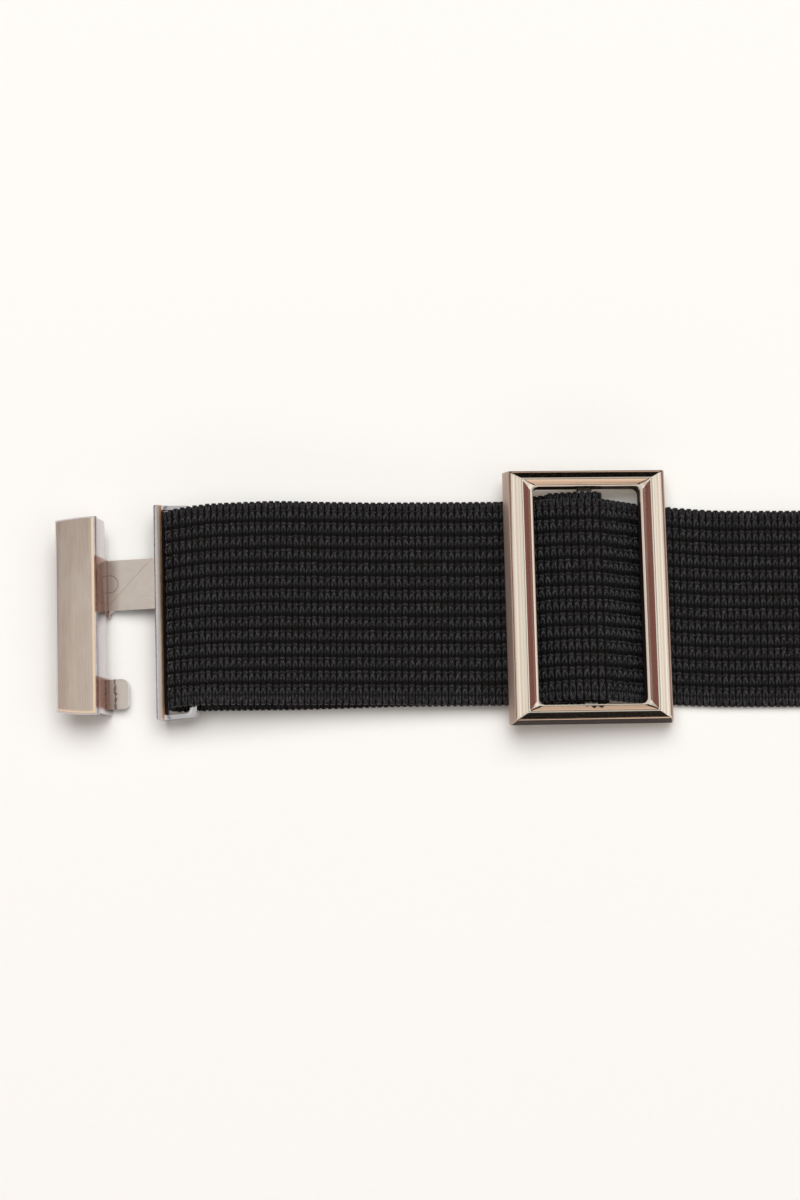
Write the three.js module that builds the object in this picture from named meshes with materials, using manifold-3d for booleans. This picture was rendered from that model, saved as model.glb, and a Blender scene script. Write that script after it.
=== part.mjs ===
// A black ribbed elastic belt, 40 mm wide, laid flat with its clasp open.
// The left end doubles back through a clasp half and is sewn round the centre bar of a bevelled
// slider; the right end is folded round the mating clasp half, which is the same casting turned round.
// Millimetres, +X along the belt, +Z up, the table at z = 0, the origin under the middle of the belt.

import * as THREE from 'three';
import * as BufferGeometryUtils from 'three/addons/utils/BufferGeometryUtils.js';
import Module from 'manifold-3d';

const wasm = await Module();
wasm.setup();

// Elastic strap
const STRAP_THICKNESS = 1.4;
const RIB_COUNT = 14;
const RIB_PITCH_SHARE = 0.066;      // one inner rib's share of the strap's width
const GROOVE_DEPTH = 0.25;
const GROOVE_HALF_WIDTH = 0.4;
const SELVAGE_DROP = 0.35;          // rounding of the strap's two edges
const SELVAGE_WIDTH = 0.45;
const SHARP_TURN = THREE.MathUtils.degToRad(17);   // gentler bends than this are one station
const BEND_STEP = THREE.MathUtils.degToRad(46);

// Slider
const SLIDER_X = -225.92;
const SLIDER_Y = 0.18;
const SLIDER_LENGTH = 32.25;        // along the belt
const SLIDER_WIDTH = 50.05;         // across the belt
const SIDE_RAIL = 5.55;             // width of the two rails that cross the belt
const END_RAIL = 3.55;              // width of the two rails at its ends
const SLIDER_LIFT = 2.9;            // height of the underside at the centre bar
const SLIDER_TILT = THREE.MathUtils.degToRad(4);
const SLIDER_TURN = THREE.MathUtils.degToRad(1.3);
const OUTER_CORNER = 0.35;
const WINDOW_CORNER = 1.3;
const BAR_WIDTH = 3.0;
const BAR_HEIGHT = 0.9;
const BAR_CHAMFER = 0.25;

// Clasp half, in its own frame: u towards the strap, v across it, w up off the neck plate
const CLASP_X = -321.04;            // left foot of the wall
const CLASP_Y = -3.43;
const CLASP_TILT = THREE.MathUtils.degToRad(10);
const CLASP_TURN = THREE.MathUtils.degToRad(1.8);
const CLASP_HEIGHT = 8.2;
const PLATE_THICKNESS = 1.6;
const PLATE_RIGHT = -0.5;
const PLATE_LEFT = -8.8;
const PLATE_TOP_END = 18.95;
const PLATE_BOTTOM_END = -20.0;
const PLATE_TOP_TAPER = 0.45;       // how much shorter the plate is along its free edge
const PLATE_BOTTOM_TAPER = 0.75;
const PLATE_BEVEL = 0.35;
const WALL_THICKNESS = 1.4;
const WALL_DRAFT = 0.5;             // how far the wall leans back between its foot and its top
const WALL_UNDERCUT = 3.2;          // height of the wall's lower edge beside the neck and the tab
const WALL_FILLET = 1.5;
const FOOT_THICKNESS = 1.4;         // thickness of the neck and the tab
const NECK_LOW = 1.0;
const NECK_HIGH = 11.0;
const NECK_FILLET = 1.3;            // in plan, between the wall and the neck's lower side
const TAB_LOW = -18.5;
const TAB_HIGH = -12.6;
const TAB_LENGTH = 3.6;
const TAB_CORNER = 1.3;
const LOOP_LEFT = 10.0;
const LOOP_RIGHT = 17.7;
const LOOP_HALF = 21.2;
const LOOP_TAPER = 0.4;             // how much nearer the arms are to the middle at the strap's bar
const LOOP_BAR = 1.4;
const LOOP_ARM = 0.8;
const LOOP_HEIGHT = 3.8;            // of the bar next to the neck
const ARM_HEIGHT = 2.5;             // of the arms and of the bar that carries the strap
const LOOP_NEAR_CORNER = 0.35;
const LOOP_OUTER_CORNER = 1.4;
const LOOP_INNER_CORNER = 1.0;
const LOOP_BEVEL = 0.7;
const OVERLAP = 0.3;                // how far the casting's members run into each other

// The strap's route, from the tail sewn over the slider's bar to the tail at the far clasp.
// x and z are a corner of its middle line and bend the radius that rounds it; high and low are its
// two edges across the belt; lean turns the strap in plan, in degrees.
const ROUTE = [
  { at: 'tail over the bar', x: SLIDER_X - 7.2, z: 2.85, bend: 0, high: 21.0, low: -20.8, lean: 1.4 },
  { at: 'on the bar', x: SLIDER_X - 1.2, z: 4.8, bend: 3, high: 21.0, low: -20.8, lean: 1.4 },
  { at: 'wrap, upper', x: SLIDER_X + 2.85, z: 4.8, bend: 1.44, high: 21.1, low: -20.9, lean: 1.4 },
  { at: 'wrap, lower', x: SLIDER_X + 2.85, z: 1.9, bend: 1.44, high: 21.1, low: -21.0, lean: 1.4 },
  { at: 'under the bar', x: SLIDER_X - 2.0, z: 1.9, bend: 0, high: 21.1, low: -21.1, lean: 1.4 },
  { at: 'back on the table', x: SLIDER_X - 9.0, z: 0.7, bend: 0, high: 21.1, low: -21.1, lean: 1.0 },
  { at: 'lower layer, slider end', x: -246.0, z: 0.7, bend: 0, high: 19.2, low: -21.2, lean: 0 },
  { at: 'lower layer, middle', x: -262.7, z: 0.7, bend: 0, high: 18.9, low: -21.4, lean: 0 },
  { at: 'lower layer, clasp end', x: -282.3, z: 0.7, bend: 0, high: 18.3, low: -22.0, lean: 0 },
  { at: 'rise to the loop', x: -293.5, z: 0.7, bend: 0, high: 17.9, low: -22.1, lean: 0.6 },
  { at: 'under the loop bar', x: -301.0, z: 2.1, bend: 0, high: 17.2, low: -22.3, lean: 1.8 },
  { at: 'fold, lower', x: -307.75, z: 2.1, bend: 2.39, high: 16.7, low: -22.7, lean: 1.8 },
  { at: 'fold, upper', x: -307.75, z: 6.9, bend: 2.39, high: 17.0, low: -22.0, lean: 1.8 },
  { at: 'over the loop bar', x: -300.5, z: 6.9, bend: 0, high: 18.2, low: -21.6, lean: 1.2 },
  { at: 'run, clasp end', x: -288.0, z: 5.5, bend: 0, high: 19.0, low: -21.45, lean: 0 },
  { at: 'run, middle', x: -269.0, z: 4.0, bend: 0, high: 18.95, low: -21.3, lean: 0 },
  { at: 'run, slider end', x: -252.0, z: 2.95, bend: 0, high: 19.25, low: -21.3, lean: 0 },
  { at: 'under the left rail', x: SLIDER_X - 16.5, z: 2.45, bend: 0, high: 19.4, low: -21.3, lean: 0.8 },
  { at: 'into the window', x: SLIDER_X - 10.9, z: 2.45, bend: 2.5, high: 19.6, low: -20.9, lean: 1.4 },
  { at: 'over the tail', x: SLIDER_X - 6.9, z: 4.95, bend: 0, high: 19.5, low: -20.6, lean: 1.4 },
  { at: 'over the bar, left', x: SLIDER_X - 1.3, z: 6.52, bend: 0, high: 19.3, low: -20.6, lean: 1.4 },
  { at: 'over the bar, right', x: SLIDER_X + 2.35, z: 6.52, bend: 3.3, high: 19.3, low: -20.6, lean: 1.4 },
  { at: 'out of the window', x: SLIDER_X + 10.0, z: 0.9, bend: 2, high: 19.4, low: -20.7, lean: 1.4 },
  { at: 'single run, slider end', x: SLIDER_X + 17.5, z: 0.7, bend: 0, high: 18.5, low: -21.15, lean: 0.4 },
  { at: 'single run, settled', x: -199.0, z: 0.7, bend: 0, high: 17.88, low: -21.44, lean: 0 },
  { at: 'single run, left', x: -100.0, z: 0.7, bend: 0, high: 18.3, low: -21.0, lean: 0 },
  { at: 'single run, middle', x: 0.0, z: 0.7, bend: 0, high: 19.6, low: -19.7, lean: 0 },
  { at: 'single run, right', x: 100.0, z: 0.7, bend: 0, high: 20.6, low: -18.7, lean: 0 },
  { at: 'single run, far end', x: 230.0, z: 0.7, bend: 0, high: 21.3, low: -18.0, lean: 0 },
  { at: 'up to the far tail', x: 262.0, z: 0.7, bend: 0, high: 21.4, low: -18.0, lean: 0 },
  { at: 'on the far tail', x: 269.0, z: 2.5, bend: 0, high: 21.4, low: -18.1, lean: 0 },
  { at: 'leaving the far tail', x: 285.0, z: 2.5, bend: 0, high: 21.4, low: -18.0, lean: 0 },
  { at: 'over the far loop bar', x: 300.5, z: 6.9, bend: 0, high: 21.4, low: -17.6, lean: 1.2 },
  { at: 'far fold, upper', x: 307.75, z: 6.9, bend: 2.39, high: 22.0, low: -17.0, lean: 1.8 },
  { at: 'far fold, lower', x: 307.75, z: 2.1, bend: 2.39, high: 22.7, low: -16.7, lean: 1.8 },
  { at: 'under the far loop bar', x: 301.0, z: 2.1, bend: 0, high: 22.3, low: -17.2, lean: 1.8 },
  { at: 'down to the far tail', x: 293.5, z: 0.7, bend: 0, high: 22.1, low: -17.8, lean: 0.6 },
  { at: 'far tail end', x: 271.5, z: 0.7, bend: 0, high: 21.9, low: -18.2, lean: 0 },
];

const gold = new THREE.MeshStandardMaterial({ color: 0xd8b9a2, roughness: 0.14, metalness: 1 });
const brushedGold = new THREE.MeshStandardMaterial({ color: 0xc9b3a3, roughness: 0.34, metalness: 1 });
const elastic = new THREE.MeshStandardMaterial({ color: 0x1d1b1c, roughness: 0.85, metalness: 0 });

// Closed shells and solids

function shellFromRings(rings, closed) {
  const count = rings[0].length;
  const positions = rings.flat().flatMap((p) => [p.x, p.y, p.z]);
  const indices = [];
  const spans = closed ? rings.length : rings.length - 1;
  for (let i = 0; i < spans; i += 1) {
    const here = i * count;
    const next = ((i + 1) % rings.length) * count;
    for (let j = 0; j < count; j += 1) {
      const k = (j + 1) % count;
      indices.push(here + j, here + k, next + k, here + j, next + k, next + j);
    }
  }
  const geometry = new THREE.BufferGeometry();
  geometry.setAttribute('position', new THREE.Float32BufferAttribute(positions, 3));
  geometry.setIndex(indices);
  return geometry;
}

function toSolid(geometry) {
  const bare = geometry.clone();
  bare.deleteAttribute('normal');
  bare.deleteAttribute('uv');
  const merged = BufferGeometryUtils.mergeVertices(bare, 1e-4);
  return new wasm.Manifold(new wasm.Mesh({
    numProp: 3,
    vertProperties: new Float32Array(merged.getAttribute('position').array),
    triVerts: new Uint32Array(merged.getIndex().array),
  }));
}

function toGeometry(solid) {
  const mesh = solid.getMesh();
  const geometry = new THREE.BufferGeometry();
  geometry.setAttribute('position', new THREE.Float32BufferAttribute(mesh.vertProperties, 3));
  geometry.setIndex(new THREE.Uint32BufferAttribute(mesh.triVerts, 1));
  return geometry;
}

// Prisms for the casting, drawn in the plane that shows each member's outline

function prism(shape, depth) {
  return new THREE.ExtrudeGeometry(shape, { depth, bevelEnabled: false, curveSegments: 5 });
}

function prismUp(shape, from, to) {
  return toSolid(prism(shape, to - from).translate(0, 0, from));
}

function prismAcross(shape, from, to) {
  const turn = new THREE.Matrix4().makeBasis(
    new THREE.Vector3(1, 0, 0), new THREE.Vector3(0, 0, 1), new THREE.Vector3(0, -1, 0));
  return toSolid(prism(shape, to - from).applyMatrix4(turn).translate(0, to, 0));
}

function prismAlong(shape, from, to) {
  const turn = new THREE.Matrix4().makeBasis(
    new THREE.Vector3(0, 1, 0), new THREE.Vector3(0, 0, 1), new THREE.Vector3(1, 0, 0));
  return toSolid(prism(shape, to - from).applyMatrix4(turn).translate(from, 0, 0));
}

function polygon(corners) {
  return new THREE.Shape(corners.map(([x, y]) => new THREE.Vector2(x, y)));
}

function roundedRectangle(left, low, right, high, radii) {
  const [lowLeft, lowRight, highRight, highLeft] = radii;
  const outline = new THREE.Path();
  outline.moveTo(left + lowLeft, low);
  outline.lineTo(right - lowRight, low);
  if (lowRight) outline.absarc(right - lowRight, low + lowRight, lowRight, -Math.PI / 2, 0);
  outline.lineTo(right, high - highRight);
  if (highRight) outline.absarc(right - highRight, high - highRight, highRight, 0, Math.PI / 2);
  outline.lineTo(left + highLeft, high);
  if (highLeft) outline.absarc(left + highLeft, high - highLeft, highLeft, Math.PI / 2, Math.PI);
  outline.lineTo(left, low + lowLeft);
  if (lowLeft) outline.absarc(left + lowLeft, low + lowLeft, lowLeft, Math.PI, 1.5 * Math.PI);
  return outline;
}

// Clasp half

function frontPlate() {
  const inset = PLATE_BEVEL;
  const top = PLATE_TOP_END - inset;
  const bottom = PLATE_BOTTOM_END + inset;
  const middle = (PLATE_LEFT + PLATE_RIGHT) / 2;
  const outline = new THREE.Shape();
  outline.moveTo(PLATE_RIGHT - inset, bottom);
  outline.lineTo(PLATE_RIGHT - inset, top);
  outline.quadraticCurveTo(middle, top, PLATE_LEFT + inset, top - PLATE_TOP_TAPER);
  outline.lineTo(PLATE_LEFT + inset, bottom + PLATE_BOTTOM_TAPER);
  outline.quadraticCurveTo(middle, bottom, PLATE_RIGHT - inset, bottom);
  const geometry = new THREE.ExtrudeGeometry(outline, {
    depth: PLATE_THICKNESS - 2 * inset,
    bevelEnabled: true,
    bevelThickness: inset,
    bevelSize: inset,
    bevelSegments: 1,
    curveSegments: 6,
  });
  return toSolid(geometry.translate(0, 0, CLASP_HEIGHT - PLATE_THICKNESS + inset));
}

function standingWall() {
  const top = CLASP_HEIGHT - PLATE_THICKNESS / 2;
  const lean = (w) => -WALL_DRAFT * (w / CLASP_HEIGHT);
  const profile = polygon([
    [-WALL_THICKNESS, 0],
    [0, 0],
    [lean(top), top],
    [lean(top) - WALL_THICKNESS, top],
  ]);
  const side = new THREE.Shape();
  const end = PLATE_TOP_END - PLATE_BEVEL;
  const foot = PLATE_BOTTOM_END + PLATE_BEVEL;
  const r = WALL_FILLET;
  side.moveTo(foot, top);
  side.lineTo(foot, r / 2);
  side.absarc(foot + r / 2, r / 2, r / 2, Math.PI, 1.5 * Math.PI);
  side.lineTo(TAB_HIGH, 0);
  side.lineTo(TAB_HIGH, WALL_UNDERCUT - r);
  side.absarc(TAB_HIGH + r, WALL_UNDERCUT - r, r, Math.PI, Math.PI / 2, true);
  side.lineTo(NECK_LOW - r, WALL_UNDERCUT);
  side.absarc(NECK_LOW - r, WALL_UNDERCUT - r, r, Math.PI / 2, 0, true);
  side.lineTo(NECK_LOW, 0);
  side.lineTo(NECK_HIGH, 0);
  side.lineTo(NECK_HIGH, WALL_UNDERCUT - r);
  side.absarc(NECK_HIGH + r, WALL_UNDERCUT - r, r, Math.PI, Math.PI / 2, true);
  side.lineTo(end - r / 2, WALL_UNDERCUT);
  side.absarc(end - r / 2, WALL_UNDERCUT + r / 2, r / 2, -Math.PI / 2, 0);
  side.lineTo(end, top);
  const length = prismAcross(profile, foot, end);
  return length.intersect(prismAlong(side, -2 * WALL_THICKNESS - WALL_DRAFT, WALL_THICKNESS));
}

function neck() {
  const outline = new THREE.Shape();
  outline.moveTo(-OVERLAP, NECK_HIGH);
  outline.lineTo(-OVERLAP, NECK_LOW - NECK_FILLET);
  outline.lineTo(0, NECK_LOW - NECK_FILLET);
  outline.absarc(NECK_FILLET, NECK_LOW - NECK_FILLET, NECK_FILLET, Math.PI, Math.PI / 2, true);
  outline.lineTo(LOOP_LEFT + OVERLAP, NECK_LOW);
  outline.lineTo(LOOP_LEFT + OVERLAP, NECK_HIGH);
  return prismUp(outline, 0, FOOT_THICKNESS);
}

function tab() {
  const outline = roundedRectangle(-OVERLAP, TAB_LOW, TAB_LENGTH, TAB_HIGH, [0, TAB_CORNER, TAB_CORNER, 0]);
  return prismUp(new THREE.Shape(outline.getPoints(4)), 0, FOOT_THICKNESS);
}

// Narrows an outline drawn square by LOOP_TAPER a side between the loop's two bars.
function tapered(points) {
  return points.map(({ x, y }) => {
    const share = (x - LOOP_LEFT) / (LOOP_RIGHT - LOOP_LEFT);
    return new THREE.Vector2(x, y - Math.sign(y) * LOOP_TAPER * share);
  });
}

function strapLoop() {
  const innerEdge = LOOP_LEFT + LOOP_BAR;
  const innerHalf = LOOP_HALF - LOOP_ARM;
  const outer = roundedRectangle(LOOP_LEFT, -LOOP_HALF, LOOP_RIGHT, LOOP_HALF,
    [LOOP_NEAR_CORNER, LOOP_OUTER_CORNER, LOOP_OUTER_CORNER, LOOP_NEAR_CORNER]);
  const inner = roundedRectangle(innerEdge, -innerHalf, LOOP_RIGHT - LOOP_BAR, innerHalf,
    [LOOP_NEAR_CORNER, LOOP_INNER_CORNER, LOOP_INNER_CORNER, LOOP_NEAR_CORNER]);
  const frame = new THREE.Shape(tapered(outer.getPoints(4)));
  frame.holes.push(new THREE.Path(tapered(inner.getPoints(4))));
  const sideView = polygon([
    [LOOP_LEFT - OVERLAP, 0],
    [LOOP_RIGHT + OVERLAP, 0],
    [LOOP_RIGHT + OVERLAP, ARM_HEIGHT],
    [innerEdge + LOOP_BAR, ARM_HEIGHT],
    [innerEdge, LOOP_HEIGHT - LOOP_BEVEL],
    [innerEdge - LOOP_BEVEL, LOOP_HEIGHT],
    [LOOP_LEFT - OVERLAP, LOOP_HEIGHT],
  ]);
  const flat = prismUp(frame, 0, LOOP_HEIGHT);
  return flat.intersect(prismAcross(sideView, -LOOP_HALF - OVERLAP, LOOP_HALF + OVERLAP));
}

function claspHalf(name) {
  const casting = [standingWall(), neck(), tab(), strapLoop()]
    .reduce((whole, member) => whole.add(member), frontPlate());
  const mesh = new THREE.Mesh(toGeometry(casting), brushedGold);
  mesh.name = name;
  mesh.position.x = WALL_THICKNESS;
  const tilted = new THREE.Group();
  tilted.rotation.y = -CLASP_TILT;
  tilted.add(mesh);
  const placed = new THREE.Group();
  placed.position.set(CLASP_X, CLASP_Y, 0);
  placed.rotation.z = CLASP_TURN;
  placed.add(tilted);
  return placed;
}

// Slider

// across runs from 0 at a rail's outer foot to 1 at the window; height is above the underside.
const RAIL_SECTION = [
  { across: 0.03, height: 0 },
  { across: 0, height: 0.15 },
  { across: 0.12, height: 3.65 },
  { across: 0.16, height: 3.85 },
  { across: 0.5, height: 4.57 },
  { across: 0.58, height: 4.7 },
  { across: 0.65, height: 4.6 },
  { across: 0.94, height: 3.74 },
  { across: 0.98, height: 3.58 },
  { across: 1, height: 3.2 },
  { across: 1, height: 0.4 },
  { across: 0.92, height: 0 },
];

function frameRing({ across, height }) {
  const halfLength = SLIDER_LENGTH / 2 - across * SIDE_RAIL;
  const halfWidth = SLIDER_WIDTH / 2 - across * END_RAIL;
  const inward = THREE.MathUtils.smoothstep(across, 0.6, 1);
  const radius = THREE.MathUtils.lerp(OUTER_CORNER, WINDOW_CORNER, inward);
  const arcSteps = 4;
  const corners = [[1, 1], [-1, 1], [-1, -1], [1, -1]];
  return corners.flatMap(([sx, sy], corner) => {
    const centre = new THREE.Vector3(sx * (halfLength - radius), sy * (halfWidth - radius), height);
    return Array.from({ length: arcSteps + 1 }, (_, step) => {
      const angle = (corner + step / arcSteps) * Math.PI / 2;
      return new THREE.Vector3(Math.cos(angle), Math.sin(angle), 0).multiplyScalar(radius).add(centre);
    });
  });
}

function slider() {
  const frame = toSolid(shellFromRings(RAIL_SECTION.map(frameRing), true));
  const half = BAR_WIDTH / 2;
  const barEnd = SLIDER_WIDTH / 2 - END_RAIL + OVERLAP;
  const bar = prismAcross(polygon([
    [-half + BAR_CHAMFER, 0],
    [half - BAR_CHAMFER, 0],
    [half, BAR_CHAMFER],
    [half, BAR_HEIGHT - BAR_CHAMFER],
    [half - BAR_CHAMFER, BAR_HEIGHT],
    [-half + BAR_CHAMFER, BAR_HEIGHT],
    [-half, BAR_HEIGHT - BAR_CHAMFER],
    [-half, BAR_CHAMFER],
  ]), -barEnd, barEnd);
  const mesh = new THREE.Mesh(toGeometry(frame.add(bar)), gold);
  mesh.name = 'slider';
  const tilted = new THREE.Group();
  tilted.rotation.y = SLIDER_TILT;
  tilted.add(mesh);
  const placed = new THREE.Group();
  placed.position.set(SLIDER_X, SLIDER_Y, SLIDER_LIFT);
  placed.rotation.z = SLIDER_TURN;
  placed.add(tilted);
  return placed;
}

// Elastic strap

// The route with its corners rounded: stations with a place, a heading in the x-z plane and edges.
function routeStations(rows) {
  const stations = [];
  const point = (row) => new THREE.Vector2(row.x, row.z);
  rows.forEach((row, i) => {
    const here = point(row);
    const before = i > 0 ? point(rows[i - 1]) : null;
    const after = i < rows.length - 1 ? point(rows[i + 1]) : null;
    const headingIn = before ? here.clone().sub(before).normalize() : null;
    const headingOut = after ? after.clone().sub(here).normalize() : null;
    const edges = { high: row.high, low: row.low, lean: row.lean };
    if (!headingIn || !headingOut) {
      stations.push({ place: here, heading: headingIn ?? headingOut, ...edges });
      return;
    }
    const turn = Math.atan2(headingIn.cross(headingOut), headingIn.dot(headingOut));
    if (Math.abs(turn) < SHARP_TURN) {
      stations.push({ place: here, heading: headingIn.clone().add(headingOut).normalize(), ...edges });
      return;
    }
    const setback = row.bend * Math.tan(Math.abs(turn) / 2);
    const start = here.clone().addScaledVector(headingIn, -setback);
    const side = Math.sign(turn);
    const normalIn = new THREE.Vector2(-headingIn.y, headingIn.x);
    const centre = start.clone().addScaledVector(normalIn, side * row.bend);
    const steps = Math.max(1, Math.ceil(Math.abs(turn) / BEND_STEP));
    for (let step = 0; step <= steps; step += 1) {
      const angle = turn * step / steps;
      const heading = headingIn.clone().rotateAround(new THREE.Vector2(), angle);
      const normal = new THREE.Vector2(-heading.y, heading.x);
      stations.push({ place: centre.clone().addScaledVector(normal, -side * row.bend), heading, ...edges });
    }
  });
  return stations;
}

// The strap's cross-section, counterclockwise: across is the share of the width, from the low edge
// to the high one, inset a distance added to it, and lift the height off the middle line. The ribs
// of the face have flat crests, and those of the back are simple ridges.
function strapSection() {
  const half = STRAP_THICKNESS / 2;
  const edge = half - SELVAGE_DROP;
  const back = [{ across: 0, inset: SELVAGE_WIDTH, lift: -half }];
  const face = [{ across: 0, inset: SELVAGE_WIDTH, lift: half }];
  for (let groove = 1; groove < RIB_COUNT; groove += 1) {
    const across = 0.5 + (groove - RIB_COUNT / 2) * RIB_PITCH_SHARE;
    back.push({ across, inset: 0, lift: GROOVE_DEPTH - half });
    back.push({ across: across + RIB_PITCH_SHARE / 2, inset: 0, lift: -half });
    face.push({ across, inset: -GROOVE_HALF_WIDTH, lift: half });
    face.push({ across, inset: 0, lift: half - GROOVE_DEPTH });
    face.push({ across, inset: GROOVE_HALF_WIDTH, lift: half });
  }
  back.push({ across: 1, inset: -SELVAGE_WIDTH, lift: -half });
  face.push({ across: 1, inset: -SELVAGE_WIDTH, lift: half });
  return [
    ...back,
    { across: 1, inset: 0, lift: -edge },
    { across: 1, inset: 0, lift: edge },
    ...face.reverse(),
    { across: 0, inset: 0, lift: edge },
    { across: 0, inset: 0, lift: -edge },
  ];
}

function stationRing({ place, heading, high, low, lean }, section) {
  const turn = THREE.MathUtils.degToRad(lean);
  const middle = (high + low) / 2;
  return section.map(({ across, inset, lift }) => {
    const y = THREE.MathUtils.lerp(low, high, across) + inset;
    const x = place.x - heading.y * lift - (y - middle) * Math.tan(turn);
    return new THREE.Vector3(x, y, place.y + heading.x * lift);
  });
}

function strap() {
  const section = strapSection();
  const rings = routeStations(ROUTE).map((station) => stationRing(station, section));
  const wall = shellFromRings(rings, false);
  const outline = section.map(({ across, inset, lift }) => new THREE.Vector2(across * 40 + inset, lift));
  const capFaces = THREE.ShapeUtils.triangulateShape(outline, []);
  const count = section.length;
  const last = (rings.length - 1) * count;
  const indices = Array.from(wall.getIndex().array);
  capFaces.forEach(([a, b, c]) => {
    indices.push(c, b, a);
    indices.push(last + a, last + b, last + c);
  });
  wall.setIndex(indices);
  const mesh = new THREE.Mesh(wall, elastic);
  mesh.name = 'strap';
  return mesh;
}

// The whole belt

const belt = new THREE.Group();
belt.name = 'elastic_belt';
belt.add(claspHalf('hook_clasp'));
belt.add(slider());
belt.add(strap());

const farEnd = new THREE.Group();
farEnd.rotation.z = Math.PI;
farEnd.add(claspHalf('mating_clasp'));
belt.add(farEnd);

export default belt;
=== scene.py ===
"""A black ribbed elastic belt, laid flat, with a polished slider and its interlocking clasp open."""

import math
from collections import namedtuple

import bmesh
import bpy
import numpy as np
from mathutils import Matrix, Vector


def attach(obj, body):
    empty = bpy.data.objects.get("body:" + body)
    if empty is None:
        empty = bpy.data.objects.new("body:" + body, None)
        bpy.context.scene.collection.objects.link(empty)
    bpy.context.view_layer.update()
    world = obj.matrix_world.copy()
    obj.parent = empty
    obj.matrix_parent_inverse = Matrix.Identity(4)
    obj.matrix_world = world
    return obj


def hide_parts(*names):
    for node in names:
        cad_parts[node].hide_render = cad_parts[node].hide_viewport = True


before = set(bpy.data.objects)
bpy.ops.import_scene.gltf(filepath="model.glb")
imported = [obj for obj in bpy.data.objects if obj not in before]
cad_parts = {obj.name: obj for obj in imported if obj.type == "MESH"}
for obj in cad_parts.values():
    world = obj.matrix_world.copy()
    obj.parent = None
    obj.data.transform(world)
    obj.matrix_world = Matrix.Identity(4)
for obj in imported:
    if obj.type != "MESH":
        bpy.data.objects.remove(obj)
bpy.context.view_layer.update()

MM = 0.001

# The slider and the clasp half, in the frame's own places
SLIDER_X = -225.92
SLIDER_Y = 0.18
SLIDER_LENGTH = 32.25
SLIDER_WIDTH = 50.05
SIDE_RAIL = 5.55
END_RAIL = 3.55
SLIDER_LIFT = 2.9
SLIDER_TILT = 4.0
SLIDER_TURN = 1.3
CLASP_X = -321.04
CLASP_Y = -3.43
CLASP_TILT = 10.0
CLASP_TURN = 1.8
WALL_THICKNESS = 1.4
PLATE_TOP = 8.2
FOOT_TOP = 1.4

# The elastic strap
STRAP_THICKNESS = 1.4
RIB_COUNT = 14
RIB_PITCH_SHARE = 0.066
STITCH_LENGTH = 1.28
# The step between samples of the strap's line, and the length over which its edges are averaged
STRAP_SAMPLE = 0.25
EDGE_EASING = 9.0
# A corner without a bend radius is rounded from this far before it, or this share of its shorter side
GENTLE_SETBACK = 9.0
SETBACK_SHARE = 0.48
# Degrees between points of a rounded corner
ARC_STEP = 4
# A new ring of the ground comes after this turn in degrees, or after this length
RING_TURN = 7
RING_SPACING = 3.2
# How deep the stitches lie in the face and in the back, and how far in from the strap's edges
FACE_DEPTH = 0.2
BACK_DEPTH = 0.08
FACE_MARGIN = 1.05
BACK_MARGIN = 1.2
EDGE_LOOP_INSET = 0.3

Row = namedtuple("Row", "at x z bend high low lean")

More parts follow.
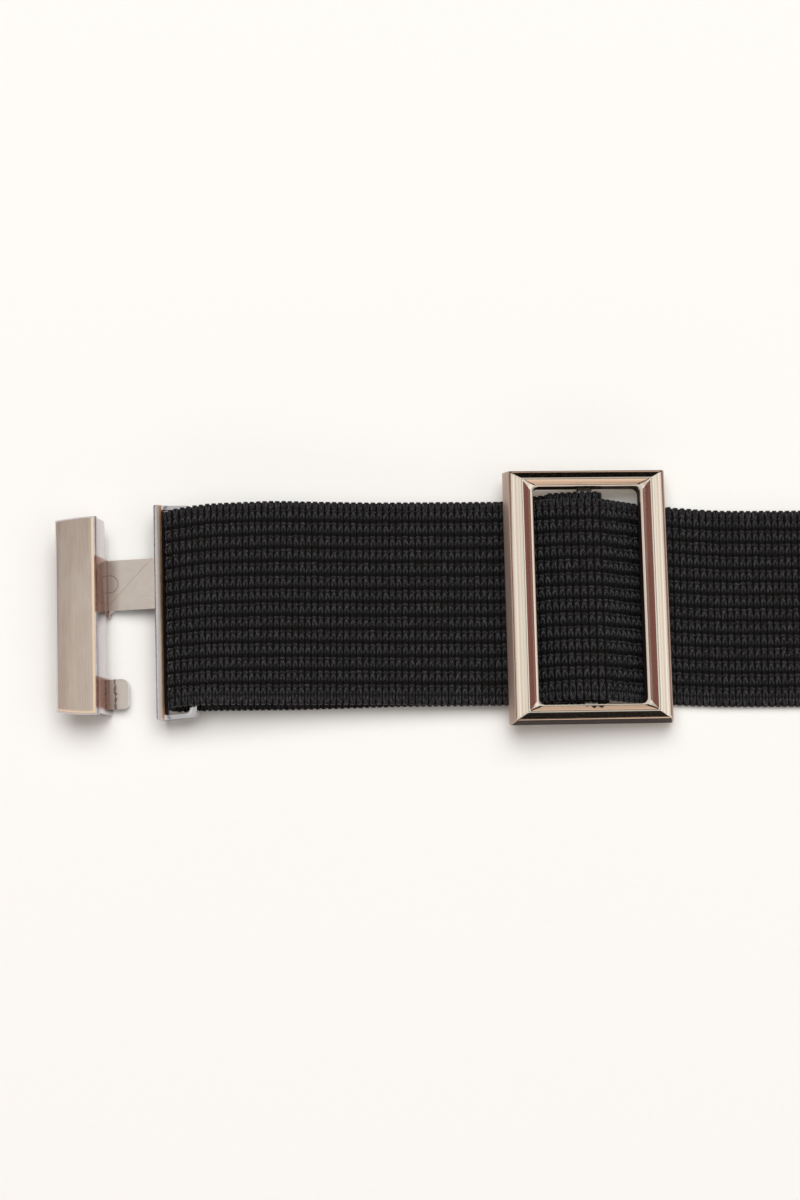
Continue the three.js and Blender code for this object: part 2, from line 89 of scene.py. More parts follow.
# The strap's route: corners of its middle line, their bend radius, its two edges and its lean in plan
ROUTE = [
    Row("tail over the bar", SLIDER_X - 7.2, 2.85, 0, 21.0, -20.8, 1.4),
    Row("on the bar", SLIDER_X - 1.2, 4.8, 3, 21.0, -20.8, 1.4),
    Row("wrap, upper", SLIDER_X + 2.85, 4.8, 1.44, 21.1, -20.9, 1.4),
    Row("wrap, lower", SLIDER_X + 2.85, 1.9, 1.44, 21.1, -21.0, 1.4),
    Row("under the bar", SLIDER_X - 2.0, 1.9, 0, 21.1, -21.1, 1.4),
    Row("back on the table", SLIDER_X - 9.0, 0.7, 0, 21.1, -21.1, 1.0),
    Row("lower layer, slider end", -246.0, 0.7, 0, 19.2, -21.2, 0),
    Row("lower layer, middle", -262.7, 0.7, 0, 18.9, -21.4, 0),
    Row("lower layer, clasp end", -282.3, 0.7, 0, 18.3, -22.0, 0),
    Row("rise to the loop", -293.5, 0.7, 0, 17.9, -22.1, 0.6),
    Row("under the loop bar", -301.0, 2.1, 0, 17.2, -22.3, 1.8),
    Row("fold, lower", -307.75, 2.1, 2.39, 16.7, -22.7, 1.8),
    Row("fold, upper", -307.75, 6.9, 2.39, 17.0, -22.0, 1.8),
    Row("over the loop bar", -300.5, 6.9, 0, 18.2, -21.6, 1.2),
    Row("run, clasp end", -288.0, 5.5, 0, 19.0, -21.45, 0),
    Row("run, middle", -269.0, 4.0, 0, 18.95, -21.3, 0),
    Row("run, slider end", -252.0, 2.95, 0, 19.25, -21.3, 0),
    Row("under the left rail", SLIDER_X - 16.5, 2.45, 0, 19.4, -21.3, 0.8),
    Row("into the window", SLIDER_X - 10.9, 2.45, 2.5, 19.6, -20.9, 1.4),
    Row("over the tail", SLIDER_X - 6.9, 4.95, 0, 19.5, -20.6, 1.4),
    Row("over the bar, left", SLIDER_X - 1.3, 6.52, 0, 19.3, -20.6, 1.4),
    Row("over the bar, right", SLIDER_X + 2.35, 6.52, 3.3, 19.3, -20.6, 1.4),
    Row("out of the window", SLIDER_X + 10.0, 0.9, 2, 19.4, -20.7, 1.4),
    Row("single run, slider end", SLIDER_X + 17.5, 0.7, 0, 18.5, -21.15, 0.4),
    Row("single run, settled", -199.0, 0.7, 0, 17.88, -21.44, 0),
    Row("single run, left", -100.0, 0.7, 0, 18.3, -21.0, 0),
    Row("single run, middle", 0.0, 0.7, 0, 19.6, -19.7, 0),
    Row("single run, right", 100.0, 0.7, 0, 20.6, -18.7, 0),
    Row("single run, far end", 230.0, 0.7, 0, 21.3, -18.0, 0),
    Row("up to the far tail", 262.0, 0.7, 0, 21.4, -18.0, 0),
    Row("on the far tail", 269.0, 2.5, 0, 21.4, -18.1, 0),
    Row("leaving the far tail", 285.0, 2.5, 0, 21.4, -18.0, 0),
    Row("over the far loop bar", 300.5, 6.9, 0, 21.4, -17.6, 1.2),
    Row("far fold, upper", 307.75, 6.9, 2.39, 22.0, -17.0, 1.8),
    Row("far fold, lower", 307.75, 2.1, 2.39, 22.7, -16.7, 1.8),
    Row("under the far loop bar", 301.0, 2.1, 0, 22.3, -17.2, 1.8),
    Row("down to the far tail", 293.5, 0.7, 0, 22.1, -17.8, 0.6),
    Row("far tail end", 271.5, 0.7, 0, 21.9, -18.2, 0),
]

# The length of one stitch at rows of the route: stitches are stretched in the slider's window
STITCH_LENGTHS = {
    "tail over the bar": 1.28,
    "fold, upper": 1.18,
    "run, clasp end": 1.22,
    "run, middle": 1.28,
    "under the left rail": 1.3,
    "over the bar, left": 1.42,
    "out of the window": 1.36,
    "single run, settled": 1.29,
    "far tail end": 1.28,
}


# Small helpers


def unit(vector):
    """The vector at length one."""
    return vector / np.linalg.norm(vector)


def quarter_turn(vector):
    """A flat vector turned a quarter turn counterclockwise."""
    return np.array((-vector[1], vector[0]))


def mesh_object(name, points_mm, faces, material=None):
    """A new object from points in millimetres and faces of point numbers."""
    mesh = bpy.data.meshes.new(name)
    mesh.from_pydata([tuple(float(c) * MM for c in p) for p in points_mm], [], faces)
    mesh.update()
    obj = bpy.data.objects.new(name, mesh)
    bpy.context.scene.collection.objects.link(obj)
    if material:
        mesh.materials.append(material)
    return obj


def shade_smooth(obj, angle=None):
    """Smooth shading all over, or with edges sharper than the angle in degrees kept crisp."""
    mesh = obj.data
    mesh.polygons.foreach_set("use_smooth", [True] * len(mesh.polygons))
    if angle is not None:
        mesh.set_sharp_from_angle(angle=math.radians(angle))
    mesh.update()


def ring_faces(count, rings, closed=False):
    """Quads between rings of count points; closed joins the last ring to the first."""
    faces = []
    for ring in range(rings if closed else rings - 1):
        here, after = ring * count, (ring + 1) % rings * count
        for j in range(count):
            k = (j + 1) % count
            faces.append((here + j, here + k, after + k, after + j))
    return faces


def face_outward(obj):
    """Turns a closed mesh's faces outward."""
    bm = bmesh.new()
    bm.from_mesh(obj.data)
    bmesh.ops.recalc_face_normals(bm, faces=bm.faces)
    bm.to_mesh(obj.data)
    bm.free()


def finish_piece(obj, slot, *nodes):
    """Lets the piece ride on the belt and stand for the nodes, which it hides. The slot is not used."""
    if nodes:
        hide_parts(*nodes)
    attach(obj, "root")


# The strap's middle line


def rounded_line(rows):
    """Points along the route with its corners rounded, and the distance at which each row lies."""
    corners = [np.array((row.x, row.z), float) for row in rows]
    points = [corners[0]]
    row_points = [0]
    for index in range(1, len(rows) - 1):
        here = corners[index]
        into = here - corners[index - 1]
        out = corners[index + 1] - here
        room = SETBACK_SHARE * min(np.linalg.norm(into), np.linalg.norm(out))
        into, out = unit(into), unit(out)
        turn = math.atan2(into[0] * out[1] - into[1] * out[0], float(into @ out))
        if abs(turn) < 1e-4:
            points.append(here)
            row_points.append(len(points) - 1)
            continue
        half = math.tan(abs(turn) / 2)
        setback = rows[index].bend * half if rows[index].bend else min(GENTLE_SETBACK, room)
        radius = setback / half
        side = math.copysign(1, turn)
        centre = here - into * setback + quarter_turn(into) * side * radius
        steps = max(2, math.ceil(abs(turn) / math.radians(ARC_STEP)))
        first = len(points)
        for step in range(steps + 1):
            angle = turn * step / steps
            heading = np.array((
                into[0] * math.cos(angle) - into[1] * math.sin(angle),
                into[0] * math.sin(angle) + into[1] * math.cos(angle),
            ))
            points.append(centre - quarter_turn(heading) * side * radius)
        row_points.append(first + steps // 2)
    points.append(corners[-1])
    row_points.append(len(points) - 1)
    points = np.array(points)
    steps = np.linalg.norm(np.diff(points, axis=0), axis=1)
    distance = np.concatenate(([0], np.cumsum(steps)))
    return points, distance, distance[row_points]


def eased(values, window):
    """The values averaged over a window of samples, with the ends held."""
    kernel = np.hanning(window + 2)[1:-1]
    kernel = kernel / kernel.sum()
    padded = np.pad(values, window // 2, mode="edge")
    return np.convolve(padded, kernel, mode="same")[window // 2: -(window // 2)]


class Strap:
    """The strap's middle line, edges and heading at any distance along it, in millimetres."""

    def __init__(self, rows):
        points, distance, at_rows = rounded_line(rows)
        count = int(distance[-1] / STRAP_SAMPLE) + 1
        self.s = np.linspace(0, distance[-1], count)
        self.x = np.interp(self.s, distance, points[:, 0])
        self.z = np.interp(self.s, distance, points[:, 1])
        window = int(EDGE_EASING / STRAP_SAMPLE) // 2 * 2
        self.high = eased(np.interp(self.s, at_rows, [row.high for row in rows]), window)
        self.low = eased(np.interp(self.s, at_rows, [row.low for row in rows]), window)
        self.lean = eased(np.interp(self.s, at_rows, [row.lean for row in rows]), window)
        heading = np.arctan2(np.gradient(self.z), np.gradient(self.x))
        self.heading = eased(np.unwrap(heading), 4)
        self.row_at = {row.at: at_rows[index] for index, row in enumerate(rows)}

    def frames(self, s):
        """Middle point, edges, lean and heading angle at the distances s."""
        tracks = (self.x, self.z, self.high, self.low, self.lean, self.heading)
        return [np.interp(s, self.s, track) for track in tracks]

    def points(self, s, across, inset=0.0, lift=0.0):
        """Points at distance s, a share across from the low edge, inset and lifted off the middle."""
        x, z, high, low, lean, heading = self.frames(s)
        y = low + (high - low) * across + inset
        x = x - np.sin(heading) * lift - (y - (high + low) / 2) * np.tan(np.radians(lean))
        return np.stack(np.broadcast_arrays(x, y, z + np.cos(heading) * lift), axis=-1)


strap_line = Strap(ROUTE)

# At every sample of the strap's line: the length of a stitch, and how many stitches lie before it
stitch_pitch = np.interp(
    strap_line.s, [strap_line.row_at[row] for row in STITCH_LENGTHS], list(STITCH_LENGTHS.values()))
stitch_count = np.concatenate(([0], np.cumsum(STRAP_SAMPLE / stitch_pitch[1:])))


# Node trees


class Wiring:
    """A node tree, with short calls that add its nodes and set or link their inputs."""

    def __init__(self, tree):
        self.tree = tree

    def node(self, kind, inputs=None, **settings):
        """A new node with its settings made and its inputs fed, by name or number."""
        made = self.tree.nodes.new(kind)
        for key, value in settings.items():
            setattr(made, key, value)
        for key, value in (inputs or {}).items():
            self.feed(made.inputs[key], value)
        return made

    def feed(self, socket, value):
        """Links another node's output to the input, or sets the input to a plain value."""
        if isinstance(value, bpy.types.NodeSocket):
            self.tree.links.new(value, socket)
        else:
            socket.default_value = value

    def math(self, operation, *values, clamp=False):
        inputs = dict(enumerate(values))
        return self.node("ShaderNodeMath", inputs, operation=operation, use_clamp=clamp).outputs[0]

    def multiply(self, first, second):
        return self.math("MULTIPLY", first, second)

    def spread(self, value, low, high, to_low=0.0, to_high=1.0):
        """A soft step: to_low below low, to_high above high."""
        inputs = dict(enumerate((value, low, high, to_low, to_high)))
        return self.node("ShaderNodeMapRange", inputs, interpolation_type="SMOOTHSTEP").outputs[0]

    def band(self, value, rise, fall):
        """One between the two slopes and nought outside them."""
        return self.multiply(self.spread(value, *rise), self.spread(value, *fall, 1.0, 0.0))


class Shades(Wiring):
    """A material's node tree, with more calls for what the materials need."""

    def __init__(self, name):
        self.material = bpy.data.materials.new(name)
        self.material.use_nodes = True
        super().__init__(self.material.node_tree)
        self.surface = self.tree.nodes["Principled BSDF"]

    def blend(self, share, first, second):
        """The first colour where the share is nought and the second where it is one."""
        made = self.node("ShaderNodeMix", data_type="RGBA")
        for index, value in ((0, share), (6, first), (7, second)):
            self.feed(made.inputs[index], value)
        return made.outputs[2]

    def noise(self, vector, scale, detail=2.0, roughness=0.5):
        made = self.node("ShaderNodeTexNoise", {
            "Vector": vector, "Scale": scale, "Detail": detail, "Roughness": roughness,
        })
        return made.outputs[0]

    def mapped(self, vector, scale=(1, 1, 1), turn=0.0):
        """The vector scaled, and turned by degrees."""
        made = self.node("ShaderNodeMapping", {
            "Vector": vector, "Scale": scale, "Rotation": (0, 0, math.radians(turn)),
        })
        return made.outputs[0]

    def place(self, scale=(1, 1, 1), turn=0.0):
        """The place on the object, in metres."""
        return self.mapped(self.node("ShaderNodeTexCoord").outputs["Object"], scale, turn)

    def streaks(self, plan, along, across, detail, roughness, turn=0.0):
        """Noise on a plan in millimetres, scaled apart along and across."""
        return self.noise(self.mapped(plan, (along, across, 1), turn), 1.0, detail, roughness)

    def plan(self, name):
        """A piece's own plan from its map, whole and as its two directions."""
        whole = self.node("ShaderNodeUVMap", uv_map=name).outputs[0]
        along, across, _ = self.node("ShaderNodeSeparateXYZ", {"Vector": whole}).outputs
        return whole, along, across

    def bump(self, height, strength, distance, normal=None):
        made = self.node("ShaderNodeBump", {
            "Height": height, "Strength": strength, "Distance": distance * MM,
        })
        if normal is not None:
            self.feed(made.inputs["Normal"], normal)
        return made.outputs[0]

    def finish(self, **sockets):
        for key, value in sockets.items():
            self.feed(self.surface.inputs[key.replace("_", " ")], value)
        return self.material


# Materials


def grey(value, warmth=0.0):
    """A near-grey colour, a little warmer or cooler."""
    return (value * (1 + warmth), value, value * (1 - warmth), 1)


def yarn_material():
    """Black textured polyester yarn: bluish legs, browner bars, each stitch its own tone, fine fibres."""
    shades = Shades("black_knit_yarn")
    tone = shades.node("ShaderNodeAttribute", attribute_name="tone").outputs["Fac"]
    warmth = shades.node("ShaderNodeAttribute", attribute_name="warmth").outputs["Fac"]
    patches = shades.noise(shades.place(), 180.0, 2.0)
    flecks = shades.noise(shades.place(), 2600.0, 2.0, 0.6)
    fibres = shades.noise(shades.place((1, 0.35, 1), 20), 9000.0, 3.0, 0.7)
    mixed = shades.math("ADD", shades.multiply(tone, 0.55), shades.multiply(patches, 0.5))
    cool = shades.blend(mixed, (0.0085, 0.0085, 0.0105, 1), (0.0235, 0.0235, 0.029, 1))
    warm = shades.blend(mixed, (0.0075, 0.0058, 0.005, 1), (0.0155, 0.0125, 0.011, 1))
    colour = shades.blend(warmth, cool, warm)
    colour = shades.blend(shades.spread(flecks, 0.48, 0.68, 0.0, 0.85), colour, (0.075, 0.07, 0.078, 1))
    colour = shades.blend(shades.spread(flecks, 0.5, 0.3, 0.0, 0.7), colour, (0.004, 0.0035, 0.0035, 1))
    height = shades.math("ADD", shades.multiply(flecks, 1.4), fibres)
    return shades.finish(
        Base_Color=colour,
        Roughness=shades.spread(fibres, 0.3, 0.7, 0.62, 0.85),
        Normal=shades.bump(height, 0.75, 0.08),
        Specular_IOR_Level=0.3,
        Sheen_Weight=0.16,
        Sheen_Roughness=0.45,
    )


def ground_material():
    """The knit's ground between the stitches: painted darker than the yarn as shade, with the columns'
    slots sunk and painted darker still as shade, and fine yarn.
    """
    shades = Shades("black_knit_ground")
    stitches = shades.plan("knit")[1]
    off_middle = shades.math("ABSOLUTE", shades.math("SUBTRACT", shades.math("FRACT", stitches), 0.5))
    slot_depth_and_shade = shades.spread(off_middle, 0.3, 0.46)
    fibres = shades.noise(shades.place((0.5, 1, 1)), 6500.0, 3.0, 0.7)
    # Painted shade: the ground is darker than the yarn, and darkest in the slots between columns.
    colour = shades.blend(slot_depth_and_shade, grey(0.009, 0.04), grey(0.002))
    colour = shades.blend(shades.multiply(fibres, 0.4), colour, grey(0.012, 0.02))
    height = shades.math("SUBTRACT", shades.multiply(fibres, 0.25), slot_depth_and_shade)
    return shades.finish(
        Base_Color=colour,
        Roughness=0.85,
        Normal=shades.bump(height, 0.8, 0.15),
        Specular_IOR_Level=0.12,
    )


def polished_material():
    """Polished plated zinc: a mirror with fine lengthwise polishing lines on every rail."""
    shades = Shades("polished_champagne_gold")
    rail = shades.plan("polish")[0]
    broad = shades.streaks(rail, 1.9, 0.02, 1.0, 0.55)
    fine = shades.streaks(rail, 7.0, 0.02, 3.0, 0.55)
    waves = shades.noise(shades.place((1, 0.45, 1)), 160.0, 1.0)
    colour = shades.blend(shades.spread(broad, 0.35, 0.65), (0.84, 0.67, 0.54, 1), (1.0, 0.88, 0.75, 1))
    colour = shades.blend(shades.multiply(fine, 0.35), colour, (0.76, 0.60, 0.47, 1))
    normal = shades.bump(waves, 0.2, 0.2)
    normal = shades.bump(broad, 0.2, 0.05, normal)
    return shades.finish(
        Base_Color=colour,
        Metallic=1.0,
        Roughness=shades.spread(fine, 0.3, 0.7, 0.09, 0.17),
        Normal=shades.bump(fine, 0.12, 0.01, normal),
    )


def shaded_satin_material():
    """The outer walls of the slider's side rails: a darker, half-metallic copy of the plating in a soft
    mid tan, painted shade.
    """
    shades = Shades("shaded_satin_champagne_gold")
    skin = shades.noise(shades.place((1, 0.1, 1)), 900.0, 3.0, 0.6)
    return shades.finish(
        Base_Color=shades.blend(skin, (0.46, 0.35, 0.285, 1), (0.62, 0.5, 0.41, 1)),
        Metallic=0.45,
        Roughness=0.5,
        Normal=shades.bump(skin, 0.15, 0.03),
    )


def painted_shade_material():
    """Near-black brown plating on the slider's window and end walls and the clasp's loop wall: painted
    shade.
    """
    shades = Shades("painted_shade_brown_gold")
    skin = shades.noise(shades.place(), 1100.0, 3.0, 0.6)
    return shades.finish(
        Base_Color=shades.blend(skin, (0.02, 0.015, 0.015, 1), (0.06, 0.042, 0.038, 1)),
        Metallic=0.3,
        Roughness=shades.spread(skin, 0.3, 0.7, 0.55, 0.7),
        Specular_IOR_Level=0.15,
        Normal=shades.bump(skin, 0.2, 0.04),
    )


def casting_material():
    """The clasp's polished sides: plating over a cast surface, with a painted brown reflection and shade
    on the wall by the neck and the tab.
    """
    shades = Shades("cast_champagne_gold")
    _, along, across = shades.plan("casting")
    skin = shades.noise(shades.place(), 1400.0, 4.0, 0.7)
    waves = shades.noise(shades.place((1, 0.5, 1)), 260.0, 1.0)
    by_wall = shades.band(along, (-2.2, -1.9), (0.1, 0.5))

    def beside(low, high):
        return shades.band(across, (low - 0.7, low + 0.2), (high - 0.2, high + 0.3))

    # Painted shade and reflection: the wall beside the neck and the tab is painted brown, broken up by
    # the skin noise.
    neck_shade = shades.multiply(beside(*NECK_CORNER), 0.92)
    tab_shade = shades.multiply(beside(*TAB_SPAN), 0.95)
    corner = shades.multiply(shades.math("MAXIMUM", neck_shade, tab_shade), by_wall)
    painted_brown_shade = shades.multiply(corner, shades.spread(skin, 0.25, 0.7, 1.0, 0.75))
    rough = shades.multiply(skin, shades.math("ADD", corner, 0.15))
    return shades.finish(
        Base_Color=shades.blend(painted_brown_shade, (0.63, 0.59, 0.6, 1), (0.27, 0.1, 0.058, 1)),
        Metallic=1.0,
        Roughness=shades.spread(skin, 0.35, 0.7, 0.1, 0.24),
        Normal=shades.bump(rough, 0.3, 0.05, shades.bump(waves, 0.3, 0.25)),
    )


def brushed_material():
    """The clasp's front: brushed across the belt, with painted gold highlights along two edges and a
    painted orange reflection by the loop bar.
    """
    shades = Shades("brushed_champagne_gold")
    flat, along, across = shades.plan("casting")
    fine = shades.streaks(flat, 9.0, 0.16, 4.0, 0.65)
    broad = shades.streaks(flat, 1.6, 0.05, 2.0, 0.65)
    clouds = shades.streaks(flat, 0.25, 0.12, 1.0, 0.65)
    colour = shades.blend(shades.spread(fine, 0.32, 0.68), (0.74, 0.60, 0.49, 1), (0.95, 0.82, 0.71, 1))
    colour = shades.blend(shades.spread(broad, 0.4, 0.65, 0.0, 0.45), colour, (0.77, 0.61, 0.49, 1))
    colour = shades.blend(shades.spread(clouds, 0.4, 0.7, 0.0, 0.4), colour, (0.96, 0.84, 0.73, 1))
    # Painted highlights: gold bands along the edge by the wall and along the plate's lower edge, made
    # less metallic so they show brighter.
    wall_edge_highlight = shades.band(along, (-1.45, -1.3), (-0.95, -0.85))
    share = shades.math("DIVIDE", shades.math("SUBTRACT", along, PLATE_RIGHT), PLATE_WIDTH)
    rise = shades.multiply(shades.multiply(share, share), PLATE_FOOT_RISE)
    above_foot = shades.math("SUBTRACT", shades.math("SUBTRACT", across, PLATE_FOOT), rise)
    on_plate = shades.spread(along, -0.7, -0.6, 1.0, 0.0)
    foot_edge_highlight = shades.multiply(shades.spread(above_foot, 0.25, 0.45, 1.0, 0.0), on_plate)
    painted_highlight = shades.math("MAXIMUM", wall_edge_highlight, foot_edge_highlight)
    colour = shades.blend(painted_highlight, colour, (0.95, 0.73, 0.52, 1))
    # A painted orange reflection along the loop bar's edge.
    loop_edge_reflection = shades.spread(along, LOOP_START + 1.05, LOOP_START + 1.15)
    colour = shades.blend(loop_edge_reflection, colour, (0.7, 0.39, 0.21, 1))
    return shades.finish(
        Base_Color=colour,
        Metallic=shades.spread(painted_highlight, 0.0, 1.0, 1.0, 0.45),
        Roughness=shades.spread(fine, 0.3, 0.7, 0.3, 0.44),
        Normal=shades.bump(fine, 0.3, 0.03),
        Anisotropic=0.5,
    )


def foot_material():
    """The neck and the tab: ground flat, with slanting scratches, and a round pin mark and a crease drawn
    as dark lines of painted shade.
    """
    shades = Shades("scratched_champagne_gold")
    flat, along, across = shades.plan("casting")

    def near(first, second, inner, outer):
        """One where the two values are closer than inner, nought where they are further than outer."""
        apart = shades.math("ABSOLUTE", shades.math("SUBTRACT", first, second))
        return shades.spread(apart, inner, outer, 1.0, 0.0)

    scratches = shades.spread(shades.streaks(flat, 0.12, 7.0, 3.0, 0.6, -45), 0.6, 0.78)
    long_scratch = near(shades.math("SUBTRACT", across, along), 2.2, 0.0, 0.1)
    pin_x = shades.math("SUBTRACT", along, PIN_ALONG)
    pin_y = shades.math("SUBTRACT", across, PIN_ACROSS)
    squares = shades.math("ADD", shades.multiply(pin_x, pin_x), shades.multiply(pin_y, pin_y))
    # The pin mark's rim: a dark ring of painted shade, also sunk by the bump.
    ring = near(shades.math("SQRT", squares), PIN_RADIUS, 0.02, 0.14)
    rough_skin = shades.noise(shades.place(), 1500.0, 4.0, 0.7)
    on_tab = shades.spread(across, -12.0, -11.0, 1.0, 0.0)
    # The tab's crease: a dark line of painted shade, also sunk by the bump.
    crease_line_and_shade = near(along, shades.spread(rough_skin, 0.3, 0.7, 0.75, 1.25), 0.1, 0.32)
    strong = shades.math("ADD", shades.multiply(long_scratch, 0.6), shades.multiply(ring, 0.7))
    marks_and_painted_shade = shades.math("ADD", shades.multiply(scratches, 0.25), strong, clamp=True)
    marks_and_painted_shade = shades.math("MAXIMUM", marks_and_painted_shade, shades.multiply(crease_line_and_shade, on_tab))
    colour = shades.blend(marks_and_painted_shade, (0.82, 0.705, 0.615, 1), (0.30, 0.22, 0.18, 1))
    height = shades.math("SUBTRACT", shades.multiply(rough_skin, 0.05), marks_and_painted_shade)
    return shades.finish(
        Base_Color=colour,
        Metallic=1.0,
        Roughness=shades.spread(rough_skin, 0.3, 0.7, 0.28, 0.36),
        Normal=shades.bump(height, 0.25, 0.05),
    )


def floor_material():
    """Matt ecru paper, a little uneven."""
    shades = Shades("ecru_paper")
    grain = shades.noise(shades.place(), 900.0, 4.0, 0.6)
    return shades.finish(
        Base_Color=shades.blend(grain, (0.925, 0.905, 0.865, 1), (0.945, 0.925, 0.885, 1)),
        Roughness=0.9,
        Specular_IOR_Level=0.1,
        Normal=shades.bump(grain, 0.05, 0.05),
    )


# The strap's ground


def rib_centre(rib):
    """A rib's middle as a share of the strap's width."""
    return 0.5 + (rib - (RIB_COUNT - 1) / 2) * RIB_PITCH_SHARE


def strap_section():
    """The ground's cross-section: (share across, inset, lift, rib number) counterclockwise."""
    half = STRAP_THICKNESS / 2
    face_crest, face_groove = half - 0.27, half - 0.62
    back_crest, back_groove = 0.16 - half, 0.42 - half
    edge_inset = 0.35
    edge_low, edge_high = 0.35 - half, 0.12
    outer, inner = edge_inset + 0.5, edge_inset + 1.4
    margin_crest = face_crest + 0.03
    face = [(0, outer, face_crest, -0.6), (0, inner, margin_crest, -0.4)]
    back = [(0, outer, back_crest, -0.6)]
    for rib in range(RIB_COUNT):
        centre = rib_centre(rib)
        for place, share in ((-0.36, 0.8), (0, 1), (0.36, 0.8)):
            lift = face_groove + (face_crest - face_groove) * share
            face.append((centre + place * RIB_PITCH_SHARE, 0, lift, rib + 0.5 + place))
        back.append((centre, 0, back_crest, rib + 0.5))
        if rib < RIB_COUNT - 1:
            face.append((centre + 0.5 * RIB_PITCH_SHARE, 0, face_groove, rib + 1.0))
            back.append((centre + 0.5 * RIB_PITCH_SHARE, 0, back_groove, rib + 1.0))
    face += [(1, -inner, margin_crest, RIB_COUNT + 0.4), (1, -outer, face_crest, RIB_COUNT + 0.6)]
    back += [(1, -outer, back_crest, RIB_COUNT + 0.6)]
    high_edge = [(1, -edge_inset, edge_low, RIB_COUNT + 1), (1, -edge_inset, edge_high, RIB_COUNT + 1)]
    low_edge = [(0, edge_inset, edge_high, -1), (0, edge_inset, edge_low, -1)]
    return back + high_edge + face[::-1] + low_edge


def ring_distances():
    """Distances along the strap for its rings: close in the folds, further apart on the straight."""
    chosen = [0.0]
    turned = 0.0
    for index in range(1, len(strap_line.s)):
        turned += abs(strap_line.heading[index] - strap_line.heading[index - 1])
        if turned > math.radians(RING_TURN) or strap_line.s[index] - chosen[-1] > RING_SPACING:
            chosen.append(float(strap_line.s[index]))
            turned = 0.0
    chosen[-1] = float(strap_line.s[-1])
    return np.array(chosen)


def strap_ground(material):
    """The strap's body as one closed skin, with a map of stitch columns and ribs."""
    section = strap_section()
    distances = ring_distances()
    columns = np.interp(distances, strap_line.s, stitch_count)
    lines = [strap_line.points(distances, across, inset, lift) for across, inset, lift, _ in section]
    points = np.stack(lines, axis=1).reshape(-1, 3)
    count = len(section)
    faces = ring_faces(count, len(distances))
    last = (len(distances) - 1) * count
    faces.append(tuple(range(count - 1, -1, -1)))
    faces.append(tuple(range(last, last + count)))
    obj = mesh_object("strap_ground", points, faces, material)
    knit = obj.data.uv_layers.new(name="knit")
    for loop in obj.data.loops:
        ring, j = divmod(loop.vertex_index, count)
        knit.data[loop.index].uv = (columns[ring], section[j][3])
    face_outward(obj)
    shade_smooth(obj, angle=60)
    return obj


# Stitches


def yarn_bits(name, bits):
    """A mesh of closed yarn pieces, each (warmth, path) with points (x, y, z, wide, tall)."""
    points, faces, warmths = [], [], []
    for warmth, path in bits:
        first = len(points)
        points.append(path[0][:3])
        rings = path[1:-1]
        for index, (x, y, z, wide, tall) in enumerate(rings):
            before, after = path[index], path[index + 2]
            heading = unit(np.array((after[0] - before[0], after[1] - before[1])))
            side = quarter_turn(heading)
            for out, up in ((1, -0.5), (0.62, 0.75), (-0.62, 0.75), (-1, -0.5)):
                points.append((x + side[0] * wide * out, y + side[1] * wide * out, z + tall * up))
        points.append(path[-1][:3])
        end = len(points) - 1
        for j in range(4):
            k = (j + 1) % 4
            faces.append((first, first + 1 + j, first + 1 + k))
            for ring in range(len(rings) - 1):
                here = first + 1 + 4 * ring
                faces.append((here + j, here + 4 + j, here + 4 + k, here + k))
            here = first + 1 + 4 * (len(rings) - 1)
            faces.append((here + k, here + j, end))
        warmths += [warmth] * (len(points) - first)
    obj = mesh_object(name, points, faces)
    obj.data.attributes.new("warmth", "FLOAT", "POINT").data.foreach_set("value", warmths)
    face_outward(obj)
    shade_smooth(obj)
    return obj


def face_stitch():
    """One stitch of the face: a low brown bar above, a sunken link, and two legs spread below."""
    bar = [(-0.56, 0.84, -0.12, 0, 0), (-0.3, 0.95, 0.06, 0.2, 0.17), (0.3, 0.89, 0.06, 0.2, 0.17),
           (0.56, 0.84, -0.12, 0, 0)]
    link = [(0, 0.85, -0.16, 0, 0), (0, 0.6, -0.1, 0.38, 0.13), (0, 0.3, -0.1, 0.34, 0.13),
            (0, 0.1, -0.16, 0, 0)]
    legs = [
        [(0.05 * side, 0.52, -0.05, 0, 0), (0.19 * side, 0.14, 0.12, 0.19, 0.17),
         (0.36 * side, -0.45, 0.0, 0.18, 0.15), (0.46 * side, -0.92, -0.2, 0, 0)]
        for side in (-1, 1)
    ]
    return yarn_bits("face_stitch", [(1.0, bar), (0.8, link), (0.0, legs[0]), (0.15, legs[1])])


def back_stitch():
    """One stitch of the back: a single flat float along the rib."""
    return yarn_bits("back_stitch", [(0.3, [
        (-0.58, -0.25, -0.12, 0, 0), (-0.22, -0.1, 0.08, 0.42, 0.18), (0.22, 0.1, 0.08, 0.42, 0.18),
        (0.58, 0.25, -0.12, 0, 0),
    ])])


def selvage_stitch():
    """One edge stitch: two slanting legs across the outer rib's margin."""
    return yarn_bits("selvage_stitch", [(0.5 + 0.3 * side, [
        (0.08 * side, -0.9, -0.14, 0, 0), (0.2 * side, -0.5, 0.02, 0.21, 0.15),
        (0.34 * side, 0.5, 0.0, 0.21, 0.15), (0.42 * side, 0.95, -0.16, 0, 0),
    ]) for side in (-1, 1)])


def edge_loop():
    """The loop that turns round the strap's edge and gives it its fine teeth."""
    return yarn_bits("edge_loop", [(0.7, [
        (0.0, -0.75, 0.02, 0, 0), (0.0, -0.5, 0.0, 0.5, 0.2), (0.0, 0.5, 0.0, 0.5, 0.2),
        (0.0, 0.75, 0.02, 0, 0),
    ])])


